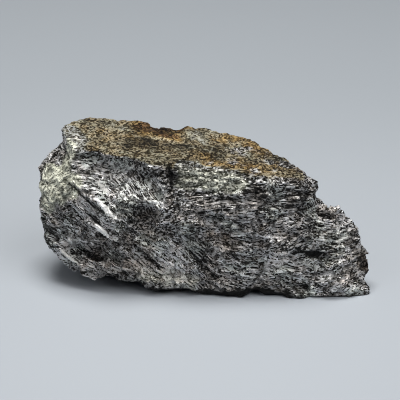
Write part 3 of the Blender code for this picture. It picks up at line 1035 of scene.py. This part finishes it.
class RockGraph(Graph):
    """The stone's material, with what its patterns read at each point."""

    def __init__(self) -> None:
        """Starts the material, with places in the stone and in its bundles, in millimetres."""
        super().__init__("nuummite rock")
        place = self.node("TexCoord").outputs["Object"]
        self.place = self.stretched(place, (MM, MM, MM))
        self.fibre = self.attribute("fibre", vector=True)
        self.kind = self.attribute("kind", vector=True)

    def look(self, kind: Look) -> Socket:
        """How much of a look each point has."""
        return self.attribute(kind.value)


@dataclass(frozen=True)
class Needle(Mark):
    """One crisp straight blade, light or dark, in the finish alone."""

    width: float
    brightness: float

    CAST = (1.0, 0.995, 0.97)
    LENS_PEAK = 0.25
    EDGE = (-0.06, 0.08)

    @property
    def colour(self) -> Point:
        """The blade's colour."""
        red, green, blue = (self.brightness * part for part in self.CAST)
        return (red, green, blue)

    def share(self, graph: RockGraph) -> Socket:
        """1 on the blade and 0 outside, with pointed ends.

        Args:
            graph: the material that takes its nodes.

        Returns:
            The share.
        """
        flat = Vector(FRONT_WEIGHTS)
        start, end = Vector(self.start) * flat, Vector(self.end) * flat
        line = end - start
        from_start = graph.vectors("MULTIPLY_ADD", graph.place, tuple(flat), tuple(-start))
        inputs = {0: from_start, 1: tuple(line / line.length_squared)}
        along = graph.node("VectorMath", inputs, operation="DOT_PRODUCT").outputs["Value"]
        along = graph.node("Math", {0: along, 1: 0.0}, operation="ADD", use_clamp=True).outputs[0]
        nearest = graph.node("VectorMath", {0: tuple(line), "Scale": along}, operation="SCALE")
        inputs = {0: from_start, 1: nearest.outputs[0]}
        away = graph.node("VectorMath", inputs, operation="DISTANCE").outputs["Value"]
        lens = graph.scale(along, graph.rest(along))
        inside = graph.sum((self.width / (2 * self.LENS_PEAK), lens), (-1.0, away))
        return graph.step(inside, *self.EDGE)


NEEDLES = (
    Needle((-29.8, -12.6, 28.6), (-22.4, -15.3, 22.0), 1.5, 0.95),
    Needle((-35.8, -9.2, 30.9), (-28.4, -12.8, 26.2), 0.5, 0.6),
    Needle((-43.6, -5.0, 23.2), (-37.6, -9.0, 21.6), 0.55, 0.6),
    Needle((-35.4, -9.9, 29.8), (-24.0, -15.2, 21.0), 0.6, 0.02),
    Needle((-33.5, -11.0, 24.2), (-26.0, -14.5, 18.9), 0.5, 0.02),
    Needle((-29.8, -14.6, 21.0), (-25.2, -14.9, 17.0), 1.5, 0.9),
    Needle((-29.0, -10.5, 31.3), (-25.2, -11.5, 28.9), 1.1, 0.7),
    Needle((-34.0, -11.5, 20.5), (-27.0, -14.0, 14.0), 0.5, 0.5),
    Needle((-40.5, -9.0, 17.0), (-33.0, -11.0, 13.0), 0.45, 0.45),
    Needle((-39.5, -10.0, 11.3), (-34.4, -12.5, 7.6), 0.7, 0.6),
)


@dataclass(frozen=True)
class LevelMix:
    """How much each cause lightens or darkens the rock as a whole."""

    bundle: float = 0.26
    cloud: float = 0.54
    swell: float = 0.24
    flake: float = 0.30
    base: float = -0.70
    # Bright blades, partly painted sheen.
    silver: float = 0.24
    # Dark rock, and partly painted shade along the foot and in cracks.
    dark: float = -0.30
    white: float = 1.2
    # Painted shade in hollows and painted light on ridges.
    ridge: float = 0.26


@dataclass(frozen=True)
class ToneMix:
    """How much each pattern adds to how bright a point is."""

    blade: float = 0.14
    streak: float = 0.28
    needle: float = 0.52
    loose_grain: float = 0.56
    grain: float = 0.16
    # speck and hair are painted glints, with dark cells, in the colour.
    speck: float = 0.64
    hair: float = 0.55
    hollow: float = -0.55
    base: float = 0.015
    level: float = 0.40


@dataclass(frozen=True)
class FreshRock:
    """The colour of the broken rock: near-black to silver-grey, with brown stains."""

    # The scale from black to white, and the tones that it stretches over.
    black: Point = (0.011, 0.010, 0.009)
    grey: Point = (0.079, 0.073, 0.060)
    silver: Point = (0.338, 0.325, 0.298)
    white: Point = (0.80, 0.80, 0.82)
    grey_at: float = 0.25
    silver_at: float = 0.55
    shades: Span = (0.44, 0.75)
    # A faint cast, greenish to warm, in clouds.
    cast_size: float = 6.5
    cast: Stops = (
        (0.36, (0.97, 1.01, 0.95)),
        (0.50, (1.0, 1.0, 1.0)),
        (0.64, (1.03, 0.985, 0.94)),
    )
    # A painted grey sheen on silvery rock, which sets in this many millimetres to the left.
    sheen: Point = (0.272, 0.272, 0.272)
    sheen_silver: Span = (0.1, 2.8)
    sheen_leftward: Span = (11.0, 22.0)
    # Brown stains, in spots and where the rock is rusty.
    stain_dark: Point = (0.02, 0.014, 0.009)
    stain_light: Point = (0.30, 0.23, 0.17)
    stain_shades: Span = (0.36, 0.9)
    stain_size: float = 3.2
    stain_edge: Span = (0.46, 0.7)
    stain_share: float = 0.35
    rust_share: float = 0.75

    def colour(self, graph: RockGraph, tone: Socket) -> Socket:
        """Adds the rock's colour to a material.

        Args:
            graph: the stone's material.
            tone: how bright each point is.

        Returns:
            The colour.
        """
        darker = ((0.0, self.black), (self.grey_at, self.grey))
        lighter = ((self.silver_at, self.silver), (1.0, self.white))
        bare = graph.colours(graph.step(tone, *self.shades), darker + lighter)
        cast = graph.colours(graph.noise(graph.place, self.cast_size, detail=3.0), self.cast)
        bare = graph.vectors("MULTIPLY", bare, cast)
        leftward = graph.sum((-1.0, graph.channel(graph.place, RED)))
        leftward = graph.step(leftward, *self.sheen_leftward)
        silvery = graph.step(graph.look(Look.SILVER_AND_SHEEN), *self.sheen_silver)
        bare = graph.blend(graph.scale(silvery, leftward), bare, self.sheen)
        brown = graph.step(tone, *self.stain_shades)
        brown = graph.blend(brown, self.stain_dark, self.stain_light)
        spots = graph.noise(graph.place, self.stain_size, detail=3.0)
        stained = graph.step(spots, *self.stain_edge)
        share = graph.sum((self.stain_share, stained), (self.rust_share, graph.look(Look.RUST)))
        return graph.blend(share, bare, brown)


@dataclass(frozen=True)
class PaleSkin:
    """A thin pale green skin that lets the rock show through in flecks."""

    dark: Point = (0.14, 0.142, 0.106)
    light: Point = (0.93, 0.94, 0.80)
    shades: Span = (0.28, 0.76)
    cover: float = 1.35
    gaps: float = -0.6
    gap_size: float = 2.4
    edge: Span = (0.0, 0.8)

    def over(self, graph: RockGraph, tone: Socket, rock: Socket) -> Socket:
        """Lays the skin over a colour.

        Args:
            graph: the stone's material.
            tone: how bright each point is.
            rock: the colour beneath.

        Returns:
            The colour with the skin.
        """
        skin = graph.blend(graph.step(tone, *self.shades), self.dark, self.light)
        gaps = graph.noise(graph.place, self.gap_size, detail=4.0)
        cover = graph.sum((self.cover, graph.look(Look.PALE)), (self.gaps, gaps))
        return graph.blend(graph.step(cover, *self.edge), rock, skin)


@dataclass(frozen=True)
class OchreCrust:
    """The weathered crust on top: brown earth, tinted from grey over ochre to rust."""

    shades: Span = (0.18, 0.70)
    earth: Stops = (
        (0.0, (0.022, 0.016, 0.008)),
        (0.30, (0.066, 0.051, 0.026)),
        (0.55, (0.132, 0.105, 0.058)),
        (0.80, (0.212, 0.174, 0.105)),
        (1.0, (0.40, 0.36, 0.27)),
    )
    tint: Stops = (
        (0.24, (0.98, 1.12, 1.45)),
        (0.40, (0.94, 1.0, 1.02)),
        (0.52, (1.03, 0.98, 0.90)),
        (0.68, (1.12, 0.88, 0.52)),
        (0.82, (0.66, 0.43, 0.27)),
    )
    hue_size: float = 5.5
    hue_noise: float = 0.75
    hue_ochre: float = 0.24
    hue_pale: float = -1.2
    hue_base: float = 0.11
    cover: float = 1.6
    gaps: float = -0.8
    gap_size: float = 2.0
    edge: Span = (0.1, 0.8)

    def over(self, graph: RockGraph, tone: Socket, rock: Socket) -> Socket:
        """Lays the crust over a colour.

        Args:
            graph: the stone's material.
            tone: how bright each point is.
            rock: the colour beneath.

        Returns:
            The colour with the crust.
        """
        hue = graph.sum(
            (self.hue_noise, graph.noise(graph.place, self.hue_size, detail=5.0)),
            (self.hue_ochre, graph.look(Look.OCHRE)),
            (self.hue_pale, graph.look(Look.PALE)),
            (self.hue_base, 1.0),
        )
        earth = graph.colours(graph.step(tone, *self.shades), self.earth)
        crust = graph.vectors("MULTIPLY", earth, graph.colours(hue, self.tint))
        gaps = graph.noise(graph.place, self.gap_size, detail=4.0)
        ragged = graph.sum((self.cover, graph.look(Look.CRUST)), (self.gaps, gaps))
        return graph.blend(graph.step(ragged, *self.edge), rock, crust)


@dataclass(frozen=True)
class RockFinish:
    """The stone's one material: bright and dark blades and grains under the crusts."""

    # How long, wide and thick the cells of each pattern are along the fibres.
    blade: Point = (6.0, 0.9, 0.8)
    swell: Point = (5.0, 1.3, 1.3)
    flake: Point = (5.5, 1.9, 1.7)
    streak: Point = (3.4, 0.40, 0.38)
    needle: Point = (2.2, 0.25, 0.25)
    # The same for the cells that follow the stone itself, and the width of its clouds.
    grain: Point = (0.62, 0.42, 0.42)
    speck: Point = (0.48, 0.35, 0.35)
    cloud: float = 6.0
    # Where a bundle counts as fibrous, how the crust hides its streaks, and how loud specks are.
    fibrous: Span = (0.50, 1.2)
    crust_veil: float = -0.7
    quiet_crust: float = -0.6
    loudness: float = 0.3
    # The random numbers from which a cell glints, or is a hollow.
    bright: Span = (0.78, 0.88)
    hollow: Span = (0.74, 0.84)
    # How far the level shades the colour, and how dark the painted contact shadow on the rock's
    # foot is.
    shade_level: Span = (-0.55, 0.4)
    shade: Span = (0.06, 1.35)
    foot_shade_share: float = 0.9
    # The roughness, what a polished blade and the crust add to it, and the tones that are polished.
    roughness_base: float = 0.55
    roughness_blade: float = -0.22
    roughness_crust: float = 0.3
    polished: Span = (0.5, 0.85)
    # How metallic the brightest blades are, the tones that are metallic, and the gloss of the rest.
    metal: float = 0.4
    metallic: Span = (0.55, 0.85)
    specular: float = 0.25
    # How far blades, streaks and needles lean, and the fine relief: its strength, its height in
    # millimetres, what the tone and a noise add to it, and the size of that noise.
    leans: Point = (0.45, 0.7, 0.6)
    bump: float = 0.8
    bump_height: float = 0.25
    bump_tone: float = 0.6
    bump_noise: float = 0.3
    bump_size: float = 0.6
    level_mix: LevelMix = LevelMix()
    tone_mix: ToneMix = ToneMix()
    rock: FreshRock = FreshRock()
    pale_skin: PaleSkin = PaleSkin()
    crust: OchreCrust = OchreCrust()

    def material(self) -> bpy.types.Material:
        """Makes the material.

        Returns:
            The material.
        """
        graph = RockGraph()
        level = self.level(graph)
        tone = self.tone(graph, level)
        colour = self.rock.colour(graph, tone)
        colour = self.pale_skin.over(graph, tone, colour)
        colour = self.crust.over(graph, tone, colour)
        for needle in NEEDLES:
            colour = graph.blend(needle.share(graph), colour, needle.colour)
        # Painted contact shadow: the foot is blended towards black.
        foot_shade = graph.scale(graph.look(Look.FOOT_SHADE), self.foot_shade_share)
        colour = graph.blend(foot_shade, colour, self.rock.black)
        graph.feed(graph.shader.inputs["Base Color"], self.shaded(graph, level, colour))
        graph.feed(graph.shader.inputs["Roughness"], self.roughness(graph, tone))
        graph.feed(graph.shader.inputs["Metallic"], self.lustre(graph, tone))
        graph.feed(graph.shader.inputs["Normal"], self.normal(graph, tone))
        graph.shader.inputs["Specular IOR Level"].default_value = self.specular
        return graph.material

    def level(self, graph: RockGraph) -> Socket:
        """How light the rock is as a whole round each point.

        Args:
            graph: the stone's material.

        Returns:
            The level, about 0 on average.
        """
        mix = self.level_mix
        return graph.sum(
            (mix.bundle, graph.channel(graph.kind, GREEN)),
            (mix.cloud, graph.noise(graph.place, self.cloud, detail=3.0)),
            (mix.swell, graph.noise(graph.stretched(graph.fibre, self.swell), 1.0, detail=2.0)),
            (mix.flake, graph.channel(graph.cells(graph.fibre, self.flake), GREEN)),
            (mix.base, 1.0),
            # Bright blades, partly painted sheen.
            (mix.silver, graph.look(Look.SILVER_AND_SHEEN)),
            # Dark rock, and painted shade along the foot and in cracks.
            (mix.dark, graph.look(Look.DARK)),
            (mix.white, graph.look(Look.WHITE)),
            # Painted shade in hollows and painted light on ridges.
            (mix.ridge, graph.attribute("ridge")),
        )

    def tone(self, graph: RockGraph, level: Socket) -> Socket:
        """How bright the rock is at each point, streak by streak.

        Args:
            graph: the stone's material.
            level: how light the rock is as a whole at each point.

        Returns:
            The tone, mostly 0 to 1.
        """
        mix = self.tone_mix
        hairs = graph.cells(graph.fibre, self.needle)
        specks = graph.cells(graph.place, self.speck)
        grains = graph.channel(graph.cells(graph.place, self.grain), BLUE)
        crust = graph.look(Look.CRUST)
        fresh = graph.sum((self.crust_veil, crust), (1.0, 1.0))
        fibrous = graph.step(graph.channel(graph.kind, BLUE), *self.fibrous)
        fibrous = graph.scale(fibrous, fresh)
        grainy = graph.rest(fibrous)
        loud = graph.sum((1.0, grainy), (self.quiet_crust, crust), (self.loudness, 1.0))
        blades = graph.channel(graph.cells(graph.fibre, self.blade), RED)
        streaks = graph.channel(graph.cells(graph.fibre, self.streak), RED)
        return graph.sum(
            (mix.blade, blades),
            (mix.streak, graph.scale(streaks, fresh)),
            (mix.needle, graph.scale(graph.channel(hairs, GREEN), fibrous)),
            (mix.loose_grain, graph.scale(grains, grainy)),
            (mix.grain, grains),
            (mix.speck, graph.scale(self.glints(graph, specks, GREEN), loud)),
            (mix.hair, graph.scale(self.glints(graph, hairs, RED), fibrous)),
            (mix.base, 1.0),
            (mix.level, level),
        )

    def glints(self, graph: RockGraph, cells: Socket, dark: int) -> Socket:
        """Painted glints: scattered bright cells above 0, and dark ones below it.

        Args:
            graph: the stone's material.
            cells: a random colour for each cell, whose blue picks the bright ones.
            dark: the channel that picks the dark ones.

        Returns:
            The heights of the cells.
        """
        bright = graph.step(graph.channel(cells, BLUE), *self.bright)
        hollow = graph.step(graph.channel(cells, dark), *self.hollow)
        return graph.sum((1.0, bright), (self.tone_mix.hollow, hollow))

    def shaded(self, graph: RockGraph, level: Socket, colour: Socket) -> Socket:
        """Darkens a colour where the rock is dark as a whole.

        Args:
            graph: the stone's material.
            level: how light the rock is as a whole at each point.
            colour: the colour.

        Returns:
            The shaded colour.
        """
        names = ("From Min", "From Max", "To Min", "To Max")
        inputs = dict(zip(names, (*self.shade_level, *self.shade)))
        shade = graph.node("MapRange", {"Value": level} | inputs).outputs["Result"]
        inputs = {0: colour, "Scale": shade}
        return graph.node("VectorMath", inputs, operation="SCALE").outputs[0]

    def roughness(self, graph: RockGraph, tone: Socket) -> Socket:
        """Bright blades are smoother than the dark rock, and the crust is dull.

        Args:
            graph: the stone's material.
            tone: how bright each point is.

        Returns:
            The roughness.
        """
        polished = graph.step(tone, *self.polished)
        crust = (self.roughness_crust, graph.look(Look.CRUST))
        return graph.sum((self.roughness_blade, polished), crust, (self.roughness_base, 1.0))

    def lustre(self, graph: RockGraph, tone: Socket) -> Socket:
        """Bright blades shine like metal, except under the crusts.

        Args:
            graph: the stone's material.
            tone: how bright each point is.

        Returns:
            The metallic share.
        """
        fresh = graph.sum((-1.0, graph.look(Look.CRUST)), (-1.0, graph.look(Look.PALE)))
        shine = graph.sum((self.metal, graph.step(tone, *self.metallic)), (self.metal, fresh))
        return graph.node("Math", {0: shine, 1: 0.0}, operation="MAXIMUM").outputs[0]

    def normal(self, graph: RockGraph, tone: Socket) -> Socket:
        """Each blade faces its own way, and the fibres stand in relief.

        Args:
            graph: the stone's material.
            tone: how bright each point is.

        Returns:
            The direction that the surface faces.
        """
        facing = graph.node("NewGeometry").outputs["Normal"]
        for size, lean in zip((self.blade, self.streak, self.needle), self.leans):
            tilt = graph.vectors("SUBTRACT", graph.cells(graph.fibre, size), (0.5,) * 3)
            facing = graph.vectors("MULTIPLY_ADD", tilt, (lean,) * 3, facing)
        facing = graph.vectors("NORMALIZE", facing)
        noise = graph.noise(graph.place, self.bump_size, detail=2.0)
        height = graph.sum((self.bump_tone, tone), (self.bump_noise, noise))
        inputs = {"Strength": self.bump, "Distance": self.bump_height * MM, "Height": height}
        return graph.node("Bump", inputs | {"Normal": facing}).outputs[0]


@dataclass(frozen=True)
class Softbox:
    """A square of soft light that looks at the stone, in metres and watts."""

    name: str
    place: Point
    size: float
    power: float
    colour: Point = (1.0, 1.0, 1.0)

    def hang(self) -> None:
        """Puts the light in the scene."""
        light = bpy.data.lights.new(self.name, "AREA")
        light.size = self.size
        light.energy = self.power
        light.color = self.colour
        lamp = bpy.data.objects.new(self.name, light)
        lamp.location = self.place
        lamp.rotation_euler = (-Vector(self.place)).to_track_quat("-Z", "Y").to_euler()
        bpy.context.scene.collection.objects.link(lamp)


LIGHTS = (
    Softbox("key", (-0.06, 0.05, 0.70), 0.32, 5.1, (1.0, 0.985, 0.95)),
    Softbox("fill", (0.31, -0.29, 0.57), 0.50, 2.05, (1.0, 0.99, 0.97)),
    Softbox("left fill", (-0.40, -0.30, 0.45), 0.35, 0.55),
)


@dataclass
class Studio:
    """A pale floor with a painted falloff of light, soft light and the camera, in metres and
    degrees.
    """

    # The floor colour in the middle darkens outward to a painted falloff of light.
    floor_colour: Point = (0.414, 0.448, 0.495)
    falloff_colour: Point = (0.353, 0.385, 0.425)
    floor_middle: Point = (0.0, -0.04, 0.0)
    floor_light_falloff: Span = (0.02, 0.20)
    floor_size: float = 3.0
    floor_roughness: float = 0.75
    air_colour: Point = (0.92, 0.96, 1.0)
    air_strength: float = 0.03
    elevation: float = 25.0
    distance: float = 0.48
    target: Point = (-0.0014, -0.0025, 0.0224)
    view_width: float = 0.10876
    sensor: float = 36.0
    pixel_filter: float = 1.0

    def build(self) -> None:
        """Lays the floor, hangs the lights and places the camera."""
        self.lay_floor()
        for light in LIGHTS:
            light.hang()
        self.fill_air()
        self.place_camera()
        bpy.context.scene.view_settings.view_transform = "Standard"
        bpy.context.scene.cycles.filter_width = self.pixel_filter
        bpy.context.scene.cycles.denoising_prefilter = "NONE"

    def fill_air(self) -> None:
        """Faint even light from all round."""
        world = bpy.data.worlds.new("studio air")
        bpy.context.scene.world = world
        world.use_nodes = True
        air = world.node_tree.nodes["Background"]
        air.inputs["Color"].default_value = (*self.air_colour, 1.0)
        air.inputs["Strength"].default_value = self.air_strength

    def lay_floor(self) -> None:
        """A floor that isn't part of the object, with a painted falloff of light outward."""
        shape = bmesh.new()
        bmesh.ops.create_grid(shape, x_segments=1, y_segments=1, size=self.floor_size)
        mesh = bpy.data.meshes.new("floor")
        shape.to_mesh(mesh)
        shape.free()
        floor = bpy.data.objects.new("floor", mesh)
        graph = Graph("floor")
        place = graph.node("TexCoord").outputs["Object"]
        middle = graph.vectors("SUBTRACT", place, self.floor_middle)
        away = graph.node("VectorMath", {0: middle}, operation="LENGTH").outputs["Value"]
        # Painted falloff of light: the floor darkens away from its middle.
        share = graph.step(away, *self.floor_light_falloff)
        colour = graph.blend(share, self.floor_colour, self.falloff_colour)
        graph.feed(graph.shader.inputs["Base Color"], colour)
        graph.shader.inputs["Roughness"].default_value = self.floor_roughness
        mesh.materials.append(graph.material)
        bpy.context.scene.collection.objects.link(floor)

    def place_camera(self) -> None:
        """A long lens that looks down at the stone's front."""
        lens = bpy.data.cameras.new("camera")
        lens.sensor_width = self.sensor
        lens.lens = self.sensor * self.distance / self.view_width
        camera = bpy.data.objects.new("camera", lens)
        rise = math.radians(self.elevation)
        back = Vector((0.0, -math.cos(rise), math.sin(rise)))
        camera.location = Vector(self.target) + back * self.distance
        camera.rotation_euler = (-back).to_track_quat("-Z", "Y").to_euler()
        bpy.context.scene.collection.objects.link(camera)
        bpy.context.scene.camera = camera


def main() -> None:
    """Builds the stone and its studio, and notes the stone's face count."""
    logging.basicConfig(level=logging.INFO, format="%(name)s: %(message)s")
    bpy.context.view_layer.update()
    stone = NuummiteStone().build()
    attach(stone, BODY)
    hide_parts(NODE)
    LOG.info("%s: %d faces", stone.name, len(stone.data.polygons))
    Studio().build()


if __name__ == "__main__":
    main()
